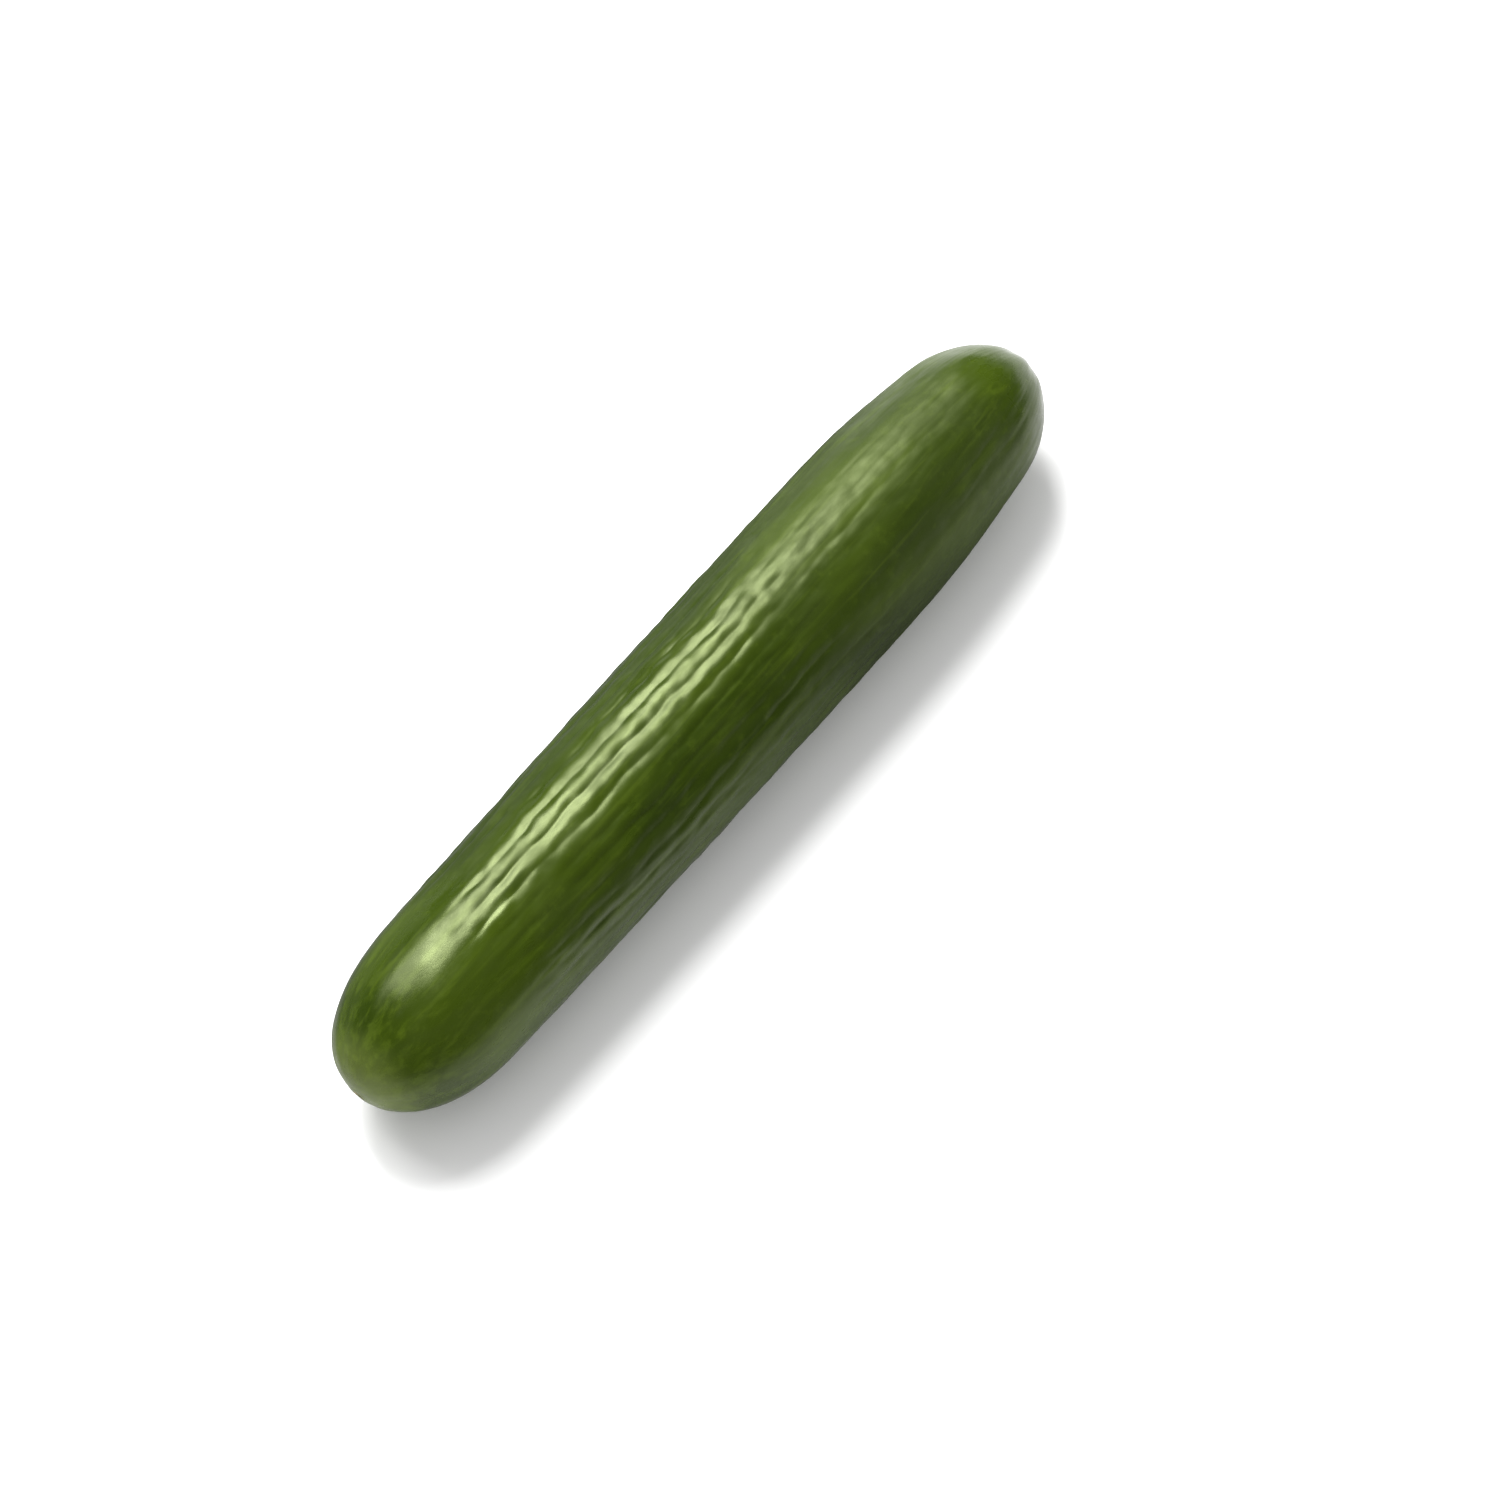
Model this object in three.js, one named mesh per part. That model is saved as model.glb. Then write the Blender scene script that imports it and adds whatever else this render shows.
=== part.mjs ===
// A fresh mini cucumber, picked with a short stub of its stalk, lying on its underside.
//
// Millimetres, +Z up. The length runs along X, from the blossom end at -X to the stalk end at +X.
// The origin is the middle of the footprint, on the surface that the fruit lies on.
// Inside the functions, x is counted from the blossom tip; the last lines centre the finished fruit.

import * as THREE from "three";

// Fruit
const AXIS_LENGTH = 170.5; // blossom tip to the stalk end's apex, before the hollow is pressed into it
const MAX_RADIUS = 15.5; // half the width where the fruit is thickest
const THICKEST_X = 124;
const BLOSSOM_NARROWING = 0.09; // share of the radius lost from the thickest place to the blossom end
const STALK_NARROWING = 0.34; // the same towards the stalk end
const BLOSSOM_CAP = 23.5; // length of the rounded blossom end
const BLOSSOM_BLUNTNESS = 2.25; // 2 is an ellipse, more is blunter
const STALK_CAP = 15;
const STALK_BLUNTNESS = 2.2;
const HEIGHT_SHARE = 0.97; // height of a section over its width
const LOBE_SHARE = 0.012; // how far the three rounded corners of a section stand out
const BOW = 0.5; // how far the fruit bends sideways
const BOW_SKEW = 2; // above 1 moves the deepest part of the bend towards the stalk end
const STALK_TURN = 0.9; // how far the stalk end turns to the same side
const REST_FLAT = 0.35; // how much the underside is flattened where the fruit lies
const AXIS_HEIGHT = MAX_RADIUS * HEIGHT_SHARE * (1 - LOBE_SHARE) - REST_FLAT;

// Hollow round the stalk, measured from the fruit's axis
const HOLLOW_DEPTH = 1.7;
const HOLLOW_FLOOR_RADIUS = 1.9;
const HOLLOW_RIM_RADIUS = 3.1;

// Stub of the stalk
const STALK_RADIUS = 1.5;
const STALK_LENGTH = 1.2;
const STALK_EDGE = 0.4; // rounding of the broken end
const STALK_GAP = 0.4; // clearance between the stub and the fruit

// Mesh fineness
const SIDES = 40;
const CAP_STEPS = 14;
const BODY_STEPS = 26;
const STALK_SIDES = 20;
const EDGE_STEPS = 4;

// Radius of the fruit at x, before its ends are rounded.
function bodyRadius(x) {
  const towardsBlossom = x < THICKEST_X;
  const reach = towardsBlossom ? THICKEST_X : AXIS_LENGTH - THICKEST_X;
  const narrowing = towardsBlossom ? BLOSSOM_NARROWING : STALK_NARROWING;
  return MAX_RADIUS * (1 - narrowing * ((x - THICKEST_X) / reach) ** 2);
}

// Share of the radius that a section reaches in the direction of angle: a soft three-sided form, with
// a corner on top and a flatter side below.
function lobe(angle) {
  return 1 + LOBE_SHARE * Math.cos(3 * (angle - Math.PI / 2));
}

// Sideways place of the axis, which stays level.
function bend(x) {
  const bow = BOW * Math.sin(Math.PI * (x / AXIS_LENGTH) ** BOW_SKEW);
  const pastThickest = Math.max(0, (x - THICKEST_X) / (AXIS_LENGTH - THICKEST_X));
  return -bow - STALK_TURN * pastThickest ** 2;
}

function axisPoint(x) {
  return new THREE.Vector3(x, bend(x), AXIS_HEIGHT);
}

// A rounded end: how far a section is set back from the apex, and its share of the full radius.
function cap(angle, length, bluntness) {
  return {
    inset: length * (1 - Math.cos(angle) ** (2 / bluntness)),
    share: Math.sin(angle) ** (2 / bluntness),
  };
}

// How deep the stalk end is pressed in at a distance from the axis.
function hollow(radius) {
  return HOLLOW_DEPTH * (1 - THREE.MathUtils.smoothstep(radius, HOLLOW_FLOOR_RADIUS, HOLLOW_RIM_RADIUS));
}

// Sections from the blossom tip to the stalk end, each with its place and its share of the radius.
// The first and the last are single points.
function stations() {
  const list = [];
  for (let i = 0; i < CAP_STEPS; i++) {
    const { inset, share } = cap((i / CAP_STEPS) * (Math.PI / 2), BLOSSOM_CAP, BLOSSOM_BLUNTNESS);
    list.push({ x: inset, share });
  }
  for (let i = 0; i <= BODY_STEPS; i++) {
    const x = THREE.MathUtils.lerp(BLOSSOM_CAP, AXIS_LENGTH - STALK_CAP, i / BODY_STEPS);
    list.push({ x, share: 1 });
  }
  for (let i = CAP_STEPS - 1; i >= 0; i--) {
    const { inset, share } = cap((i / CAP_STEPS) * (Math.PI / 2), STALK_CAP, STALK_BLUNTNESS);
    const x = AXIS_LENGTH - inset;
    list.push({ x: x - hollow(share * bodyRadius(x)), share });
  }
  return list;
}

// A point of the skin. Nothing reaches below the surface that the fruit lies on.
function skinPoint({ x, share }, angle) {
  const radius = bodyRadius(x) * share * lobe(angle);
  const y = bend(x) + radius * Math.cos(angle);
  const z = AXIS_HEIGHT + radius * HEIGHT_SHARE * Math.sin(angle);
  return [x, y, Math.max(z, 0)];
}

// Triangles that close a chain of rings of equal size, with a single point before and after them.
function skinTriangles(rings, sides) {
  const triangles = [];
  const first = 0;
  const last = 1 + rings * sides;
  const at = (ring, side) => 1 + ring * sides + (side % sides);
  for (let side = 0; side < sides; side++) {
    triangles.push(first, at(0, side + 1), at(0, side));
    triangles.push(last, at(rings - 1, side), at(rings - 1, side + 1));
    for (let ring = 0; ring < rings - 1; ring++) {
      const a = at(ring, side);
      const b = at(ring, side + 1);
      const c = at(ring + 1, side + 1);
      const d = at(ring + 1, side);
      triangles.push(a, b, c, a, c, d);
    }
  }
  return triangles;
}

function makeFruit() {
  const list = stations();
  const rings = list.slice(1, -1);
  const positions = [...skinPoint(list[0], 0)];
  for (const station of rings) {
    for (let side = 0; side < SIDES; side++) {
      positions.push(...skinPoint(station, (side / SIDES) * 2 * Math.PI - Math.PI / 2));
    }
  }
  positions.push(...skinPoint(list[list.length - 1], 0));
  const geometry = new THREE.BufferGeometry();
  geometry.setAttribute("position", new THREE.Float32BufferAttribute(positions, 3));
  geometry.setIndex(skinTriangles(rings.length, SIDES));
  geometry.computeVertexNormals();
  const skin = new THREE.MeshStandardMaterial({ color: 0x3f5a1e, roughness: 0.3, metalness: 0 });
  const fruit = new THREE.Mesh(geometry, skin);
  fruit.name = "fruit";
  return fruit;
}

// The stub stands on the floor of the hollow and points along the axis.
function makeStalk() {
  const profile = [new THREE.Vector2(0, 0), new THREE.Vector2(STALK_RADIUS, 0)];
  for (let i = 0; i <= EDGE_STEPS; i++) {
    const angle = (i / EDGE_STEPS) * (Math.PI / 2);
    const radius = STALK_RADIUS - STALK_EDGE * (1 - Math.cos(angle));
    profile.push(new THREE.Vector2(radius, STALK_LENGTH - STALK_EDGE * (1 - Math.sin(angle))));
  }
  profile.push(new THREE.Vector2(0, STALK_LENGTH));
  const green = new THREE.MeshStandardMaterial({ color: 0x8f9a52, roughness: 0.75, metalness: 0 });
  const stalk = new THREE.Mesh(new THREE.LatheGeometry(profile, STALK_SIDES), green);
  const floor = axisPoint(AXIS_LENGTH - HOLLOW_DEPTH);
  const direction = axisPoint(AXIS_LENGTH).sub(floor).normalize();
  stalk.position.copy(floor).addScaledVector(direction, STALK_GAP);
  stalk.quaternion.setFromUnitVectors(new THREE.Vector3(0, 1, 0), direction);
  stalk.name = "stalk";
  return stalk;
}

const group = new THREE.Group();
group.add(makeFruit(), makeStalk());
const box = new THREE.Box3().setFromObject(group);
const centre = box.getCenter(new THREE.Vector3());
group.position.set(-centre.x, -centre.y, -box.min.z);

export default group;
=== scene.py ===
"""A fresh mini cucumber lying on a pale studio floor.

Metres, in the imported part's frame: +X runs from the blossom end to the stalk end, +Z is up, and the
fruit lies on z = 0. The skin's waves and furrows and the blossom's scar are geometry laid over the
CAD model's form.
"""

import math

import bpy
import numpy as np
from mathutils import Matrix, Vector


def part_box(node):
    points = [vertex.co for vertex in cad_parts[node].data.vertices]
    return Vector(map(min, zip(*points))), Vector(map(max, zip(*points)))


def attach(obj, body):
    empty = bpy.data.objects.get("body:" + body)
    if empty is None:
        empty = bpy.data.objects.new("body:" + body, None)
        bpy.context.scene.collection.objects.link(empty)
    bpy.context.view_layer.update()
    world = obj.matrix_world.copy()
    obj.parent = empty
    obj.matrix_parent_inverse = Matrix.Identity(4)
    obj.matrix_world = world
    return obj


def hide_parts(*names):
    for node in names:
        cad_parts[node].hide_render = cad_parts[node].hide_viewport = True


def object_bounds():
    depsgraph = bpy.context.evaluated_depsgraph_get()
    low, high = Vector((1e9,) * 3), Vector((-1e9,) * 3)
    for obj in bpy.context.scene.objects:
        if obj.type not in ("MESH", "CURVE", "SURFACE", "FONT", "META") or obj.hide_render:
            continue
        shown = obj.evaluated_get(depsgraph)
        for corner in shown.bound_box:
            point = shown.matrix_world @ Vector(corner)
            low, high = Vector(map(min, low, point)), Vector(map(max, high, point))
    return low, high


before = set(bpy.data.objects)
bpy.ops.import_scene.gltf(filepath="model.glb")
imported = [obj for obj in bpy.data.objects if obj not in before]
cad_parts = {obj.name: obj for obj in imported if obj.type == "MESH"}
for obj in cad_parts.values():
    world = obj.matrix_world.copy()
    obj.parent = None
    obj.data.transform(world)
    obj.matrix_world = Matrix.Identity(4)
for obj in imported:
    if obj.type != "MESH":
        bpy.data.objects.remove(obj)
cad_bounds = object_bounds()

MM = 0.001
UP = Vector((0, 0, 1))

# The fruit's form, as the CAD model has it
AXIS_LENGTH = 170.5 * MM
MAX_RADIUS = 15.5 * MM
THICKEST_X = 124 * MM
BLOSSOM_NARROWING = 0.09
STALK_NARROWING = 0.34
BLOSSOM_CAP = 23.5 * MM
BLOSSOM_BLUNTNESS = 2.25
STALK_CAP = 15 * MM
STALK_BLUNTNESS = 2.2
HEIGHT_SHARE = 0.97
LOBE_SHARE = 0.012
BOW = 0.5 * MM
BOW_SKEW = 2
STALK_TURN = 0.9 * MM
REST_FLAT = 0.35 * MM
REST_SOFTNESS = 0.12 * MM  # rounding round the flat strip of the underside
AXIS_HEIGHT = MAX_RADIUS * HEIGHT_SHARE * (1 - LOBE_SHARE) - REST_FLAT
HOLLOW_DEPTH = 1.7 * MM
HOLLOW_FLOOR_RADIUS = 1.9 * MM
HOLLOW_RIM_RADIUS = 3.1 * MM

# Mesh fineness
SIDES = 320
SIDES_ON_TOP = 0.3  # how much closer the mesh's lines run on top than on average
CAP_RINGS = 40
BODY_RINGS = 225

# Relief of the skin
RIDGES = 31  # lengthwise ridges round the fruit
RIDGE_HEIGHT = 0.2 * MM
FINE_RIDGES = 84  # closer, shallower ones
FINE_RIDGE_HEIGHT = 0.012 * MM
RIBS = 9  # broad, barely raised ribs
RIB_HEIGHT = 0.06 * MM
FURROWS = 26  # single long furrows between the ridges
FURROW_DEPTH = 0.07 * MM
SWELL_HEIGHT = 0.06 * MM  # unevenness about 5 mm across
PEBBLE_HEIGHT = 0.065 * MM  # unevenness about 1 mm across
SCAR_RADIUS = 1.5 * MM  # the blossom's scar
SCAR_DEPTH = 0.3 * MM
SCAR_DROP = 2.4 * MM  # how far below the tip it sits
SCAR_FINENESS = 60  # squeezes its crumbs into the first sixtieth of the length
SHOULDERS = 5  # soft corners round the stalk
SHOULDER_HEIGHT = 0.08 * MM
SHOULDER_PHASE = 3.2  # their turn round the axis, in radians

# Camera and studio
VIEW_ELEVATION = math.radians(64)
AXIS_HEADING = math.radians(51.2)  # from the camera's right-hand side to the fruit's axis
VIEW_DISTANCE = 1.083
LENS = 160
AIM_RIGHT = 0.0084  # how far to the right of the fruit's middle the camera aims
AIM_NEARER = 0.0060  # how far nearer than the fruit's middle it aims
LIGHT_DISTANCE = 1.5
LIGHT_LENGTH = 0.9
FLOOR_SIZE = 2.2
FILL = 0.8  # how strongly the surroundings light the fruit
MIRRORED_FILL = 0.02  # how strongly they show in its skin
PALE = (0.9, 0.9, 0.9, 1)

# The floor's colours before and behind the fruit, as the skin mirrors them
MIRRORED_FRONT = (0.65, 0.65, 0.65, 1)
MIRRORED_BACK = (0.05, 0.05, 0.05, 1)


# ---------------------------------------------------------------- numbers

def smoothstep(low, high, value):
    share = np.clip((value - low) / (high - low), 0, 1)
    return share * share * (3 - 2 * share)


def spline_weights(share):
    """How much each of four neighbouring knots counts, for a uniform cubic B-spline."""
    return (
        (1 - share) ** 3 / 6,
        (3 * share**3 - 6 * share**2 + 4) / 6,
        (-3 * share**3 + 3 * share**2 + 3 * share + 1) / 6,
        share**3 / 6,
    )


def wander(along, turn, cells, seed):
    """A smooth random field, mostly from -1 to 1, with so many cells along and round the fruit.

    It joins up with itself round the fruit.
    """
    rows, columns = cells
    knots = np.random.default_rng(seed).uniform(-2, 2, (rows + 4, columns))
    row_place = np.clip(along, 0, 1) * rows
    column_place = (turn % 1) * columns
    row = np.floor(row_place).astype(int)
    column = np.floor(column_place).astype(int)
    row_weights = spline_weights(row_place - row)
    column_weights = spline_weights(column_place - column)
    total = 0
    for i in range(4):
        for j in range(4):
            knot = knots[row + i, (column + j) % columns]
            total = total + row_weights[i] * column_weights[j] * knot
    return total


# ---------------------------------------------------------------- the fruit's form

def body_radius(x):
    reach = np.where(x < THICKEST_X, THICKEST_X, AXIS_LENGTH - THICKEST_X)
    narrowing = np.where(x < THICKEST_X, BLOSSOM_NARROWING, STALK_NARROWING)
    return MAX_RADIUS * (1 - narrowing * ((x - THICKEST_X) / reach) ** 2)


def lobe(angle):
    return 1 + LOBE_SHARE * np.cos(3 * (angle - math.pi / 2))


def bend(x):
    bow = BOW * np.sin(math.pi * np.abs(x / AXIS_LENGTH) ** BOW_SKEW)
    past_thickest = np.maximum(0, (x - THICKEST_X) / (AXIS_LENGTH - THICKEST_X))
    return -bow - STALK_TURN * past_thickest**2


def cap(angle, length, bluntness):
    inset = length * (1 - np.cos(angle) ** (2 / bluntness))
    return inset, np.sin(angle) ** (2 / bluntness)


def hollow(radius):
    return HOLLOW_DEPTH * (1 - smoothstep(HOLLOW_FLOOR_RADIUS, HOLLOW_RIM_RADIUS, radius))


def stations():
    """Each section's place along the axis and its share of the full radius, both as columns."""
    angles = np.linspace(0, math.pi / 2, CAP_RINGS + 1)[1:]
    inset, blossom_share = cap(angles[:-1], BLOSSOM_CAP, BLOSSOM_BLUNTNESS)
    body = np.linspace(BLOSSOM_CAP, AXIS_LENGTH - STALK_CAP, BODY_RINGS)
    end_inset, end_share = cap(angles[-2::-1], STALK_CAP, STALK_BLUNTNESS)
    end = AXIS_LENGTH - end_inset
    end = end - hollow(end_share * body_radius(end))
    x = np.concatenate([inset, body, end])
    share = np.concatenate([blossom_share, np.ones(BODY_RINGS), end_share])
    return x[:, None], share[:, None]


def smooth_skin(x, share, angle):
    radius = body_radius(x) * share * lobe(angle)
    y = bend(x) + radius * np.cos(angle)
    z = AXIS_HEIGHT + radius * HEIGHT_SHARE * np.sin(angle)
    return np.stack([x + 0 * angle, y, z], -1)


def outward(points):
    """Unit normals of a grid of points, whose columns run round the fruit."""
    along = np.gradient(points, axis=0)
    around = np.roll(points, -1, 1) - np.roll(points, 1, 1)
    normal = np.cross(around, along)
    return normal / np.linalg.norm(normal, axis=2, keepdims=True)


# ---------------------------------------------------------------- relief

def ridges(along, turn):
    """Rounded ridges that wander, with valleys of uneven depth. From 0 in a valley to 1."""
    drift = 0.3 * wander(along, turn, (9, 10), 11) + 0.07 * wander(along, turn, (34, 24), 12)
    drift = drift + 0.08 * wander(along, turn, (76, 44), 14)
    wave = 1.1 * np.sqrt(np.sin(math.pi * (RIDGES * turn + drift)) ** 2 + 0.02) - 0.12
    depth = wander(along, turn, (12, 15), 13) + 0.7 * wander(along, turn, (64, 40), 19)
    return 1 - (0.3 + 0.7 * smoothstep(-0.8, 0.6, depth)) * (1 - wave)


def fine_ridges(along, turn):
    """Closer, shallower ridges, mostly towards the stalk end. From 0 in a valley to 1."""
    drift = 0.6 * wander(along, turn, (10, 16), 15) + 0.2 * wander(along, turn, (60, 40), 16)
    wave = np.abs(np.sin(math.pi * (FINE_RIDGES * turn + drift)))
    strength = smoothstep(-0.4, 0.8, wander(along, turn, (9, 18), 17) + 1.6 * along - 0.9)
    return 1 - strength * (1 - wave)


def furrows(along, turn):
    """Single long furrows with wandering paths. From 0 on the skin to about 1 at the bottom."""
    chance = np.random.default_rng(21)
    depth = 0
    for _ in range(FURROWS):
        middle, start = chance.uniform(0, 1), chance.uniform(0.1, 0.8)
        end = start + chance.uniform(0.08, 0.3)
        width = chance.uniform(0.0035, 0.006)
        path = middle + 0.008 * wander(along, middle + 0 * along, (24, 7), chance.integers(1000))
        aside = (turn - path + 0.5) % 1 - 0.5
        reach = smoothstep(start, start + 0.04, along) * (1 - smoothstep(end - 0.04, end, along))
        depth = np.maximum(depth, reach * np.exp(-((aside / width) ** 2)))
    return depth


def ribs(along, turn):
    return np.cos(2 * math.pi * RIBS * turn + 0.9 * wander(along, turn, (5, 7), 31))


def scar_relief(distance, along, turn):
    """The blossom's scar: a shallow corky disc with a barely raised edge."""
    sunk = 1 - smoothstep(0.45 * SCAR_RADIUS, SCAR_RADIUS, distance)
    edge = np.exp(-(((distance - 1.15 * SCAR_RADIUS) / (0.35 * SCAR_RADIUS)) ** 2))
    cork = 0.25 * sunk * wander(along * SCAR_FINENESS, turn, (12, 9), 41)
    return SCAR_DEPTH * (0.3 * edge - sunk + cork)


def shoulder_relief(distance, angle):
    """Soft corners round the hollow that holds the stalk."""
    near = smoothstep(2.2 * MM, 3.8 * MM, distance) * (1 - smoothstep(4.5 * MM, 8 * MM, distance))
    return SHOULDER_HEIGHT * near * np.cos(SHOULDERS * angle + SHOULDER_PHASE)


def relief(x, share, angle):
    """How far the skin stands out from the smooth form, and the maps that colour it."""
    turn = (angle + math.pi / 2) / (2 * math.pi) + 0 * x
    along = x / AXIS_LENGTH + 0 * angle
    distance = share * body_radius(x) + 0 * angle
    from_scar = np.hypot(distance * np.cos(angle), distance * np.sin(angle) + SCAR_DROP)
    at_blossom = x < AXIS_LENGTH / 2
    # The waves start past the blossom end, weaken in the last third and stop before the stalk end.
    waves = smoothstep(0.13, 0.22, along) * (1 - 0.6 * smoothstep(0.6, 0.8, along))
    waves = waves * (1 - smoothstep(0.88, 0.98, along))
    away = smoothstep(0.15, 0.6, share)
    crest = ridges(along, turn)
    furrow = furrows(along, turn)
    height = RIDGE_HEIGHT * waves * (crest - 1) - FURROW_DEPTH * waves * furrow
    height = height + FINE_RIDGE_HEIGHT * away * (fine_ridges(along, turn) - 1)
    height = height + RIB_HEIGHT * away * ribs(along, turn)
    height = height + SWELL_HEIGHT * away * wander(along, turn, (34, 20), 51)
    height = height + PEBBLE_HEIGHT * away * (0.3 + 0.7 * waves) * wander(along, turn, (130, 84), 52)
    height = height + np.where(at_blossom, scar_relief(from_scar, along, turn), 0)
    height = height + np.where(at_blossom, 0, shoulder_relief(distance, angle))
    maps = {
        "along": along,
        # valley: where the skin's colour is darkened with painted shade
        "valley": waves * np.maximum(1 - crest, furrow),
        "scar": np.where(at_blossom, 1 - smoothstep(0.8 * SCAR_RADIUS, 1.15 * SCAR_RADIUS, from_scar), 0),
        "under": smoothstep(0.55, 1, -np.sin(angle)) + 0 * along,
    }
    return height, maps


# ---------------------------------------------------------------- meshes

def closed_mesh(name, rings, first, last, maps, end_maps):
    """A closed mesh from a grid of rings with a point at each end, its maps and a wrapped UV map."""
    count, sides = rings.shape[:2]
    points = np.concatenate([[first], rings.reshape(-1, 3), [last]])
    side = np.arange(sides)
    after = (side + 1) % sides
    row = (1 + sides * np.arange(count - 1))[:, None]
    quads = np.stack([row + side, row + sides + side, row + sides + after, row + after], -1)
    bottom = np.stack([0 * side, 1 + side, 1 + after], -1)
    top_row = 1 + sides * (count - 1)
    top = np.stack([0 * side + len(points) - 1, top_row + after, top_row + side], -1)
    mesh = bpy.data.meshes.new(name)
    mesh.from_pydata(points.tolist(), [], [*bottom.tolist(), *quads.reshape(-1, 4).tolist(), *top.tolist()])
    for key, values in maps.items():
        attribute = mesh.attributes.new(key, "FLOAT", "POINT")
        ends = end_maps.get(key, (0, 0))
        flat = np.concatenate([[ends[0]], values.ravel(), [ends[1]]]).astype(np.float32)
        attribute.data.foreach_set("value", flat)
    wrap(mesh, count, sides)
    mesh.shade_smooth()
    return mesh


def wrap(mesh, count, sides):
    """Unrolls the skin: along the fruit in U, and round it in V."""
    left = np.arange(sides) / sides
    right = left + 1 / sides
    middle = (left + right) / 2
    u = (np.arange(count) + 1) / (count + 1)
    first = [np.stack([0 * left, middle], -1), np.stack([u[0] + 0 * left, left], -1)]
    first.append(np.stack([u[0] + 0 * left, right], -1))
    low, high = np.meshgrid(u[:-1], left, indexing="ij")
    far, high_after = np.meshgrid(u[1:], right, indexing="ij")
    body = [(low, high), (far, high), (far, high_after), (low, high_after)]
    body = [np.stack(corner, -1) for corner in body]
    last = [np.stack([0 * left + 1, middle], -1), np.stack([u[-1] + 0 * left, right], -1)]
    last.append(np.stack([u[-1] + 0 * left, left], -1))
    parts = [np.stack(first, 1), np.stack(body, 2), np.stack(last, 1)]
    layer = mesh.uv_layers.new(name="OFBake")
    layer.data.foreach_set("uv", np.concatenate([p.reshape(-1) for p in parts]).astype(np.float32))


def add_object(name, mesh):
    piece = bpy.data.objects.new(name, mesh)
    bpy.context.scene.collection.objects.link(piece)
    return piece


def fit_to_cad(points, node):
    """The move that lays a grid of points where the CAD node is."""
    low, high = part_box(node)
    own_low, own_high = points.reshape(-1, 3).min(0), points.reshape(-1, 3).max(0)
    middle = (low.y + high.y) / 2 - (own_low[1] + own_high[1]) / 2
    return np.array([low.x - own_low[0], middle, 0])


def settle(points):
    """Presses what would reach below the floor flat against it, with no hard edge."""
    z = points[..., 2]
    points[..., 2] = (z + np.sqrt(z * z + REST_SOFTNESS * REST_SOFTNESS)) / 2
    points[..., 2] -= points[..., 2].min()
    return points


def make_fruit():
    turn = np.arange(SIDES) / SIDES
    angle = 2 * math.pi * turn + SIDES_ON_TOP * np.sin(2 * math.pi * turn) - math.pi / 2
    angle = angle[None, :]
    x, share = stations()
    smooth = smooth_skin(x, share, angle)
    height, maps = relief(x, share, angle)
    move = fit_to_cad(smooth, "fruit")
    skin = settle(smooth + outward(smooth) * height[..., None]) + move
    first = skin[0].mean(0)
    last = skin[-1].mean(0)
    end_maps = {"along": (0, 1)}
    fruit = add_object("cucumber_fruit", closed_mesh("cucumber_fruit", skin, first, last, maps, end_maps))
    return fruit, move


# ---------------------------------------------------------------- the stalk

STALK_SIDES = 60
STALK_SIDE_RINGS = 26
STALK_END_RINGS = 16
STALK_BASE = 1.9 * MM  # radius at the foot
STALK_WAIST = 1.35 * MM
STALK_TOP = 1.5 * MM
STALK_SUNK = 0.35 * MM  # how far the foot reaches into the floor of the hollow
STALK_CORNERS = 5
END_RIM = 0.25 * MM  # how far short of the CAD stub's tip the side stops
END_CROWN = 0.22 * MM  # how far the broken end rises from there
END_PIT = 0.28 * MM  # how far its middle is sunk
END_RAGGED = 0.14 * MM  # how far its height strays


def stalk_outline(length):
    """Height above the hollow's floor and radius, from the foot to the middle of the broken end."""
    up = np.linspace(0, 1, STALK_SIDE_RINGS)
    flare = STALK_BASE - STALK_WAIST
    side = STALK_WAIST + flare * np.exp(-up * 5.5) + (STALK_TOP - STALK_WAIST) * smoothstep(0.5, 1, up)
    heights = -STALK_SUNK + up * (length + STALK_SUNK - END_RIM)
    inner = np.linspace(1, 0.04, STALK_END_RINGS)
    top = heights[-1] + END_CROWN * (1 - inner**4) - END_PIT * smoothstep(0.55, 0.1, inner)
    return np.concatenate([heights, top]), np.concatenate([side, STALK_TOP * inner * 0.985])


def make_stalk(move):
    """A short five-sided stub with fine lengthwise fibres and a ragged broken end."""
    floor_x = AXIS_LENGTH - HOLLOW_DEPTH
    foot = np.array([floor_x, bend(floor_x), AXIS_HEIGHT]) + move
    tip = np.array([AXIS_LENGTH, bend(AXIS_LENGTH), AXIS_HEIGHT]) + move
    forward = (tip - foot) / np.linalg.norm(tip - foot)
    aside = np.cross([0, 0, 1], forward)
    aside = aside / np.linalg.norm(aside)
    upward = np.cross(forward, aside)
    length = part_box("stalk")[1].x - foot[0]
    height, radius = (column[:, None] for column in stalk_outline(length))
    angle = (np.arange(STALK_SIDES) / STALK_SIDES * 2 * math.pi)[None, :]
    turn = angle / (2 * math.pi) + 0 * height
    along = np.linspace(0, 1, len(height))[:, None] + 0 * angle
    fibres = 0.05 * np.cos(STALK_CORNERS * angle) + 0.025 * wander(along, turn, (3, 26), 61)
    ragged = END_RAGGED * wander(0 * along, turn, (1, 19), 62) * smoothstep(0.5, 0.62, along)
    height = height + ragged * smoothstep(0, 0.7, radius / STALK_TOP)
    radius = radius * (1 + fibres)
    rings = foot + height[..., None] * forward
    rings = rings + (radius * np.cos(angle))[..., None] * aside
    rings = rings + (radius * np.sin(angle))[..., None] * upward
    maps = {"cut": smoothstep(0.6, 0.64, along), "core": 1 - radius / STALK_TOP, "fibre": fibres}
    end_maps = {"cut": (0, 1), "core": (0, 1)}
    mesh = closed_mesh("cucumber_stalk", rings, rings[0].mean(0), rings[-1].mean(0), maps, end_maps)
    return add_object("cucumber_stalk", mesh)


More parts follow.
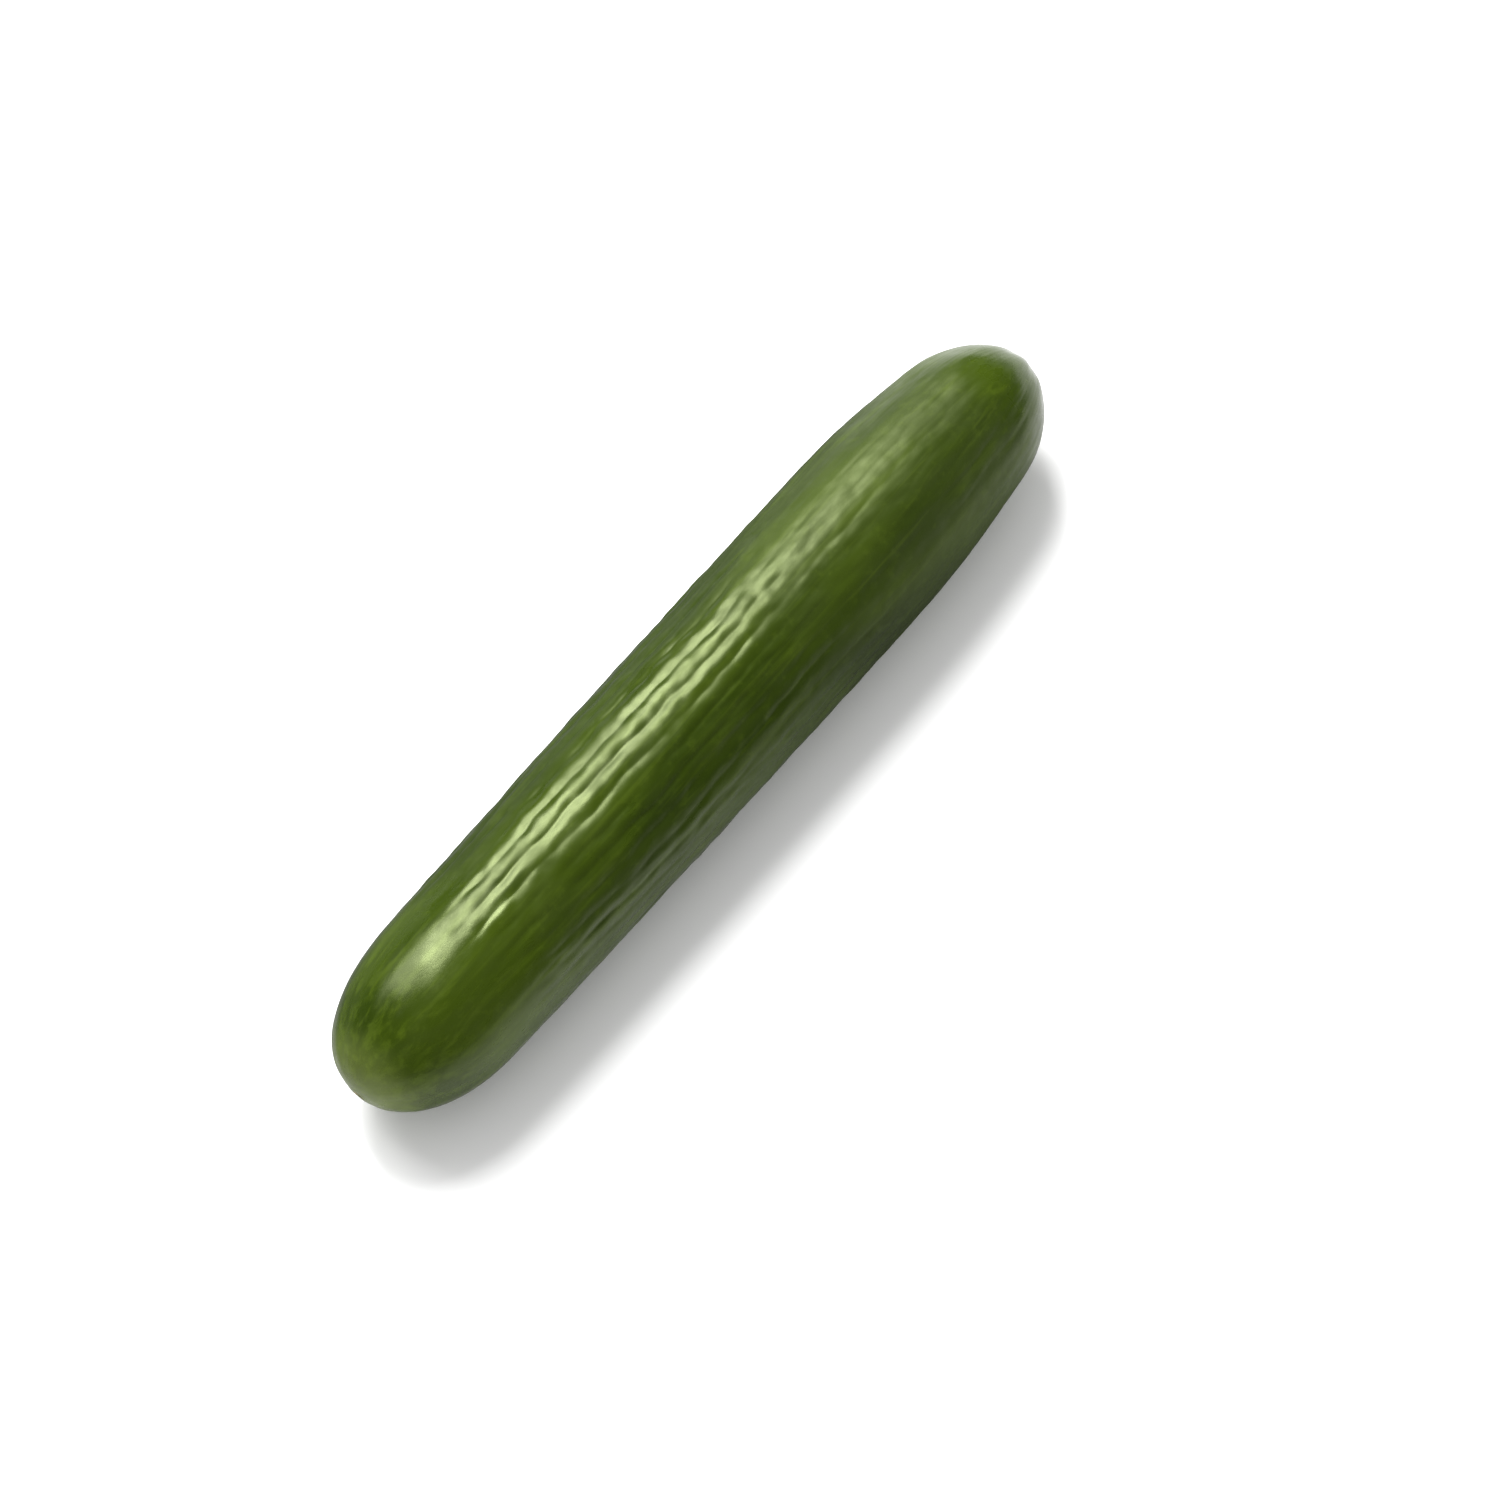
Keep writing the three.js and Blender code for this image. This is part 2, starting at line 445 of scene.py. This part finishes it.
# ---------------------------------------------------------------- materials

class Shader:
    """A material's node tree, with short calls for the nodes used here."""

    def __init__(self, name):
        self.material = bpy.data.materials.new(name)
        self.material.use_nodes = True
        self.tree = self.material.node_tree
        self.surface = self.tree.nodes["Principled BSDF"]

    def set(self, socket, value):
        if isinstance(value, bpy.types.NodeSocket):
            self.tree.links.new(value, socket)
        else:
            socket.default_value = value

    def node(self, kind, inputs=(), **settings):
        made = self.tree.nodes.new(kind)
        for key, value in settings.items():
            setattr(made, key, value)
        for key, value in dict(inputs).items():
            self.set(made.inputs[key], value)
        return made

    def map(self, name):
        return self.node("ShaderNodeAttribute", attribute_name=name).outputs["Fac"]

    def place(self, scale):
        """The point of the surface, scaled on each axis."""
        point = self.node("ShaderNodeTexCoord").outputs["Object"]
        return self.node("ShaderNodeMapping", {"Vector": point, "Scale": scale}).outputs["Vector"]

    def noise(self, scale, detail=3, roughness=0.5, distortion=0):
        inputs = {"Vector": self.place(scale), "Scale": 1, "Detail": detail}
        inputs |= {"Roughness": roughness, "Distortion": distortion}
        return self.node("ShaderNodeTexNoise", inputs).outputs["Fac"]

    def step(self, value, low, high, to_low=0.0, to_high=1.0):
        inputs = {"Value": value, "From Min": low, "From Max": high}
        inputs |= {"To Min": to_low, "To Max": to_high}
        made = self.node("ShaderNodeMapRange", inputs, interpolation_type="SMOOTHSTEP")
        return made.outputs["Result"]

    def math(self, operation, first, second=0.0):
        return self.node("ShaderNodeMath", {0: first, 1: second}, operation=operation).outputs[0]

    def mix(self, share, first, second):
        made = self.node("ShaderNodeMix", data_type="RGBA")
        self.set(made.inputs[0], share)
        self.set(made.inputs[6], first)
        self.set(made.inputs[7], second)
        return made.outputs[2]

    def bump(self, height, distance, strength=1.0):
        inputs = {"Height": height, "Distance": distance, "Strength": strength}
        return self.node("ShaderNodeBump", inputs).outputs["Normal"]

    def finish(self, **inputs):
        for key, value in inputs.items():
            self.set(self.surface.inputs[key.replace("_", " ")], value)
        return self.material


def skin_color(s, along, scar, crumb):
    """Green, streaked lengthwise, paler at the blossom end and where it lay, and dark at the stalk end,
    with painted shade in the valleys and furrows and a little painted bounce light over the last third.
    """
    deep, leaf = (0.016, 0.030, 0.0010, 1), (0.032, 0.054, 0.0022, 1)
    fresh, pale = (0.066, 0.102, 0.006, 1), (0.20, 0.25, 0.06, 1)
    cork, crust = (0.23, 0.18, 0.08, 1), (0.075, 0.055, 0.025, 1)
    broad = s.noise((28, 110, 110), detail=2)
    streak = s.noise((35, 620, 620), detail=4, roughness=0.6, distortion=0.4)
    mottle = s.noise((420, 520, 520), detail=3, roughness=0.6)
    color = s.mix(s.step(broad, 0.3, 0.7), deep, leaf)
    color = s.mix(s.step(streak, 0.5, 0.72, 0, 0.3), color, fresh)
    color = s.mix(s.step(mottle, 0.52, 0.75, 0, 0.2), color, fresh)
    # Painted shade: the colour is darkened in the ridges' valleys and the furrows.
    color = s.mix(s.math("MULTIPLY", s.map("valley"), 0.3), color, deep)
    streaked = s.math("MULTIPLY", s.step(streak, 0.42, 0.62), s.step(along, 0.02, 0.25, 0.25, 0))
    color = s.mix(streaked, color, fresh)
    color = s.mix(s.step(along, 0, 0.04, 0.35, 0), color, pale)
    color = s.mix(s.math("MULTIPLY", s.map("under"), 0.3), color, fresh)
    # Painted bounce light: the last third is made a little lighter green, as if lit by light bounced onto
    # it.
    color = s.mix(s.step(along, 0.6, 0.8, 0, 0.1), color, fresh)
    color = s.mix(s.step(along, 0.92, 0.98, 0, 0.5), color, deep)
    return s.mix(scar, color, s.mix(s.step(crumb, 0.42, 0.6), crust, cork))


def skin_roughness(s, along, scar):
    """Unevenly waxy, duller towards the stalk end but not on the end itself, and dull on the scar."""
    wax = s.noise((90, 220, 220), detail=4, roughness=0.65)
    bloom = s.math("ADD", s.step(along, 0.17, 0.24, 0, 0.04), s.step(along, 0.45, 0.82, 0, 0.14))
    bloom = s.math("ADD", bloom, s.step(along, 0.89, 0.96, 0, -0.2))
    roughness = s.math("ADD", s.step(wax, 0.35, 0.7, 0.23, 0.38), s.math("MULTIPLY", scar, 0.4))
    return s.math("ADD", roughness, bloom)


def skin_material():
    """Waxy skin with a crumbly scar at the blossom end."""
    s = Shader("cucumber_skin")
    along = s.map("along")
    crumb = s.noise((1600, 1600, 1600), detail=4, roughness=0.6)
    scar = s.step(s.math("ADD", s.map("scar"), crumb), 0.9, 1.35)
    grain = s.noise((900, 1500, 1500), detail=4, roughness=0.6)
    return s.finish(
        Base_Color=skin_color(s, along, scar, crumb),
        Roughness=skin_roughness(s, along, scar),
        IOR=1.45,
        Specular_Tint=(0.86, 1.0, 0.48, 1),
        Normal=s.bump(grain, 0.02 * MM, 0.6),
    )


def stalk_material():
    """Pale green stalk with lengthwise fibres, browned and dry where it broke."""
    green, straw = (0.19, 0.23, 0.065, 1), (0.40, 0.38, 0.17, 1)
    dry, pith = (0.23, 0.17, 0.075, 1), (0.37, 0.36, 0.18, 1)
    s = Shader("cucumber_stalk")
    cut, core, fibre = (s.map(n) for n in ("cut", "core", "fibre"))
    speck = s.noise((1800, 2600, 2600), detail=4, roughness=0.6)
    side = s.mix(s.step(fibre, -0.04, 0.05), straw, green)
    end = s.mix(s.step(core, 0.25, 0.7), dry, pith)
    color = s.mix(cut, side, end)
    color = s.mix(s.step(speck, 0.5, 0.75, 0, 0.5), color, dry)
    return s.finish(
        Base_Color=color,
        Roughness=s.step(speck, 0.3, 0.7, 0.6, 0.85),
        Normal=s.bump(speck, 0.06 * MM),
    )


def floor_material():
    """A pale floor, which the skin mirrors as if it were dark behind the fruit but not past its far end."""
    s = Shader("floor")
    mirrored = s.node("ShaderNodeLightPath").outputs["Is Glossy Ray"]
    x, y = s.node("ShaderNodeSeparateXYZ", {0: s.place((1, 1, 1))}).outputs[:2]
    behind = s.math("MAXIMUM", s.step(y, -0.02, 0.04), s.step(x, -0.03, 0.04, 0, 0.7))
    reflected = s.mix(behind, MIRRORED_FRONT, MIRRORED_BACK)
    reflected = s.mix(s.step(x, 0.06, 0.11), reflected, PALE)
    color = s.mix(mirrored, PALE, reflected)
    return s.finish(Base_Color=color, Roughness=0.6)


# ---------------------------------------------------------------- studio

def ground_directions():
    """The camera's right-hand side and the way it looks, both laid flat on the floor."""
    right = Vector((math.cos(AXIS_HEADING), -math.sin(AXIS_HEADING), 0))
    away = Vector((math.sin(AXIS_HEADING), math.cos(AXIS_HEADING), 0))
    return right, away


def look_at(thing, target):
    thing.rotation_euler = (target - thing.location).to_track_quat("-Z", "Y").to_euler()


def make_camera(middle):
    right, away = ground_directions()
    target = middle + right * AIM_RIGHT - away * AIM_NEARER
    data = bpy.data.cameras.new("camera")
    data.lens = LENS
    camera = add_object("camera", data)
    backwards = math.sin(VIEW_ELEVATION) * UP - math.cos(VIEW_ELEVATION) * away
    camera.location = target + VIEW_DISTANCE * backwards
    look_at(camera, target)
    bpy.context.scene.camera = camera


def softbox(name, direction, width, power, middle):
    """A long light that faces the middle of the fruit, with its power in watts."""
    data = bpy.data.lights.new(name, "AREA")
    data.shape = "RECTANGLE"
    data.size = width
    data.size_y = LIGHT_LENGTH
    data.energy = power
    light = add_object(name, data)
    light.location = middle + direction.normalized() * LIGHT_DISTANCE
    look_at(light, middle)


def make_lights(middle):
    """Three soft boxes side by side, high up on the far left."""
    right, away = ground_directions()
    softbox("key", -0.161 * right + 0.624 * away + 0.792 * UP, 0.32, 16.5, middle)
    softbox("bright", -0.309 * right + 0.527 * away + 0.792 * UP, 0.21, 15.5, middle)
    softbox("side", -0.518 * right + 0.391 * away + 0.792 * UP, 0.54, 11, middle)


def make_world():
    """Fills the shadows evenly, shows only dimly in the skin, and is white behind the floor."""
    world = bpy.data.worlds.new("studio")
    bpy.context.scene.world = world
    world.use_nodes = True
    tree = world.node_tree
    path = tree.nodes.new("ShaderNodeLightPath")
    fill = tree.nodes["Background"]
    fill.inputs["Strength"].default_value = FILL
    fill.inputs["Color"].default_value = (1, 1, 1, 1)
    light = fill.outputs[0]
    for ray, strength in (("Is Glossy Ray", MIRRORED_FILL), ("Is Camera Ray", 1)):
        seen = tree.nodes.new("ShaderNodeBackground")
        seen.inputs["Strength"].default_value = strength
        seen.inputs["Color"].default_value = (1, 1, 1, 1)
        mix = tree.nodes.new("ShaderNodeMixShader")
        tree.links.new(path.outputs[ray], mix.inputs[0])
        tree.links.new(light, mix.inputs[1])
        tree.links.new(seen.outputs[0], mix.inputs[2])
        light = mix.outputs[0]
    tree.links.new(light, tree.nodes["World Output"].inputs[0])


def make_floor():
    half = FLOOR_SIZE / 2
    corners = [(-half, -half, 0), (half, -half, 0), (half, half, 0), (-half, half, 0)]
    mesh = bpy.data.meshes.new("floor")
    mesh.from_pydata(corners, [], [(0, 1, 2, 3)])
    floor = add_object("floor", mesh)
    floor.data.materials.append(floor_material())


# ---------------------------------------------------------------- the scene

fruit, move = make_fruit()
fruit.data.materials.append(skin_material())
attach(fruit, "root")
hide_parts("fruit")

stalk = make_stalk(move)
stalk.data.materials.append(stalk_material())
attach(stalk, "root")
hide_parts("stalk")

low, high = (Vector(corner) for corner in cad_bounds)
make_camera((low + high) / 2)
make_lights((low + high) / 2)
make_world()
make_floor()
bpy.context.scene.view_settings.view_transform = "Standard"
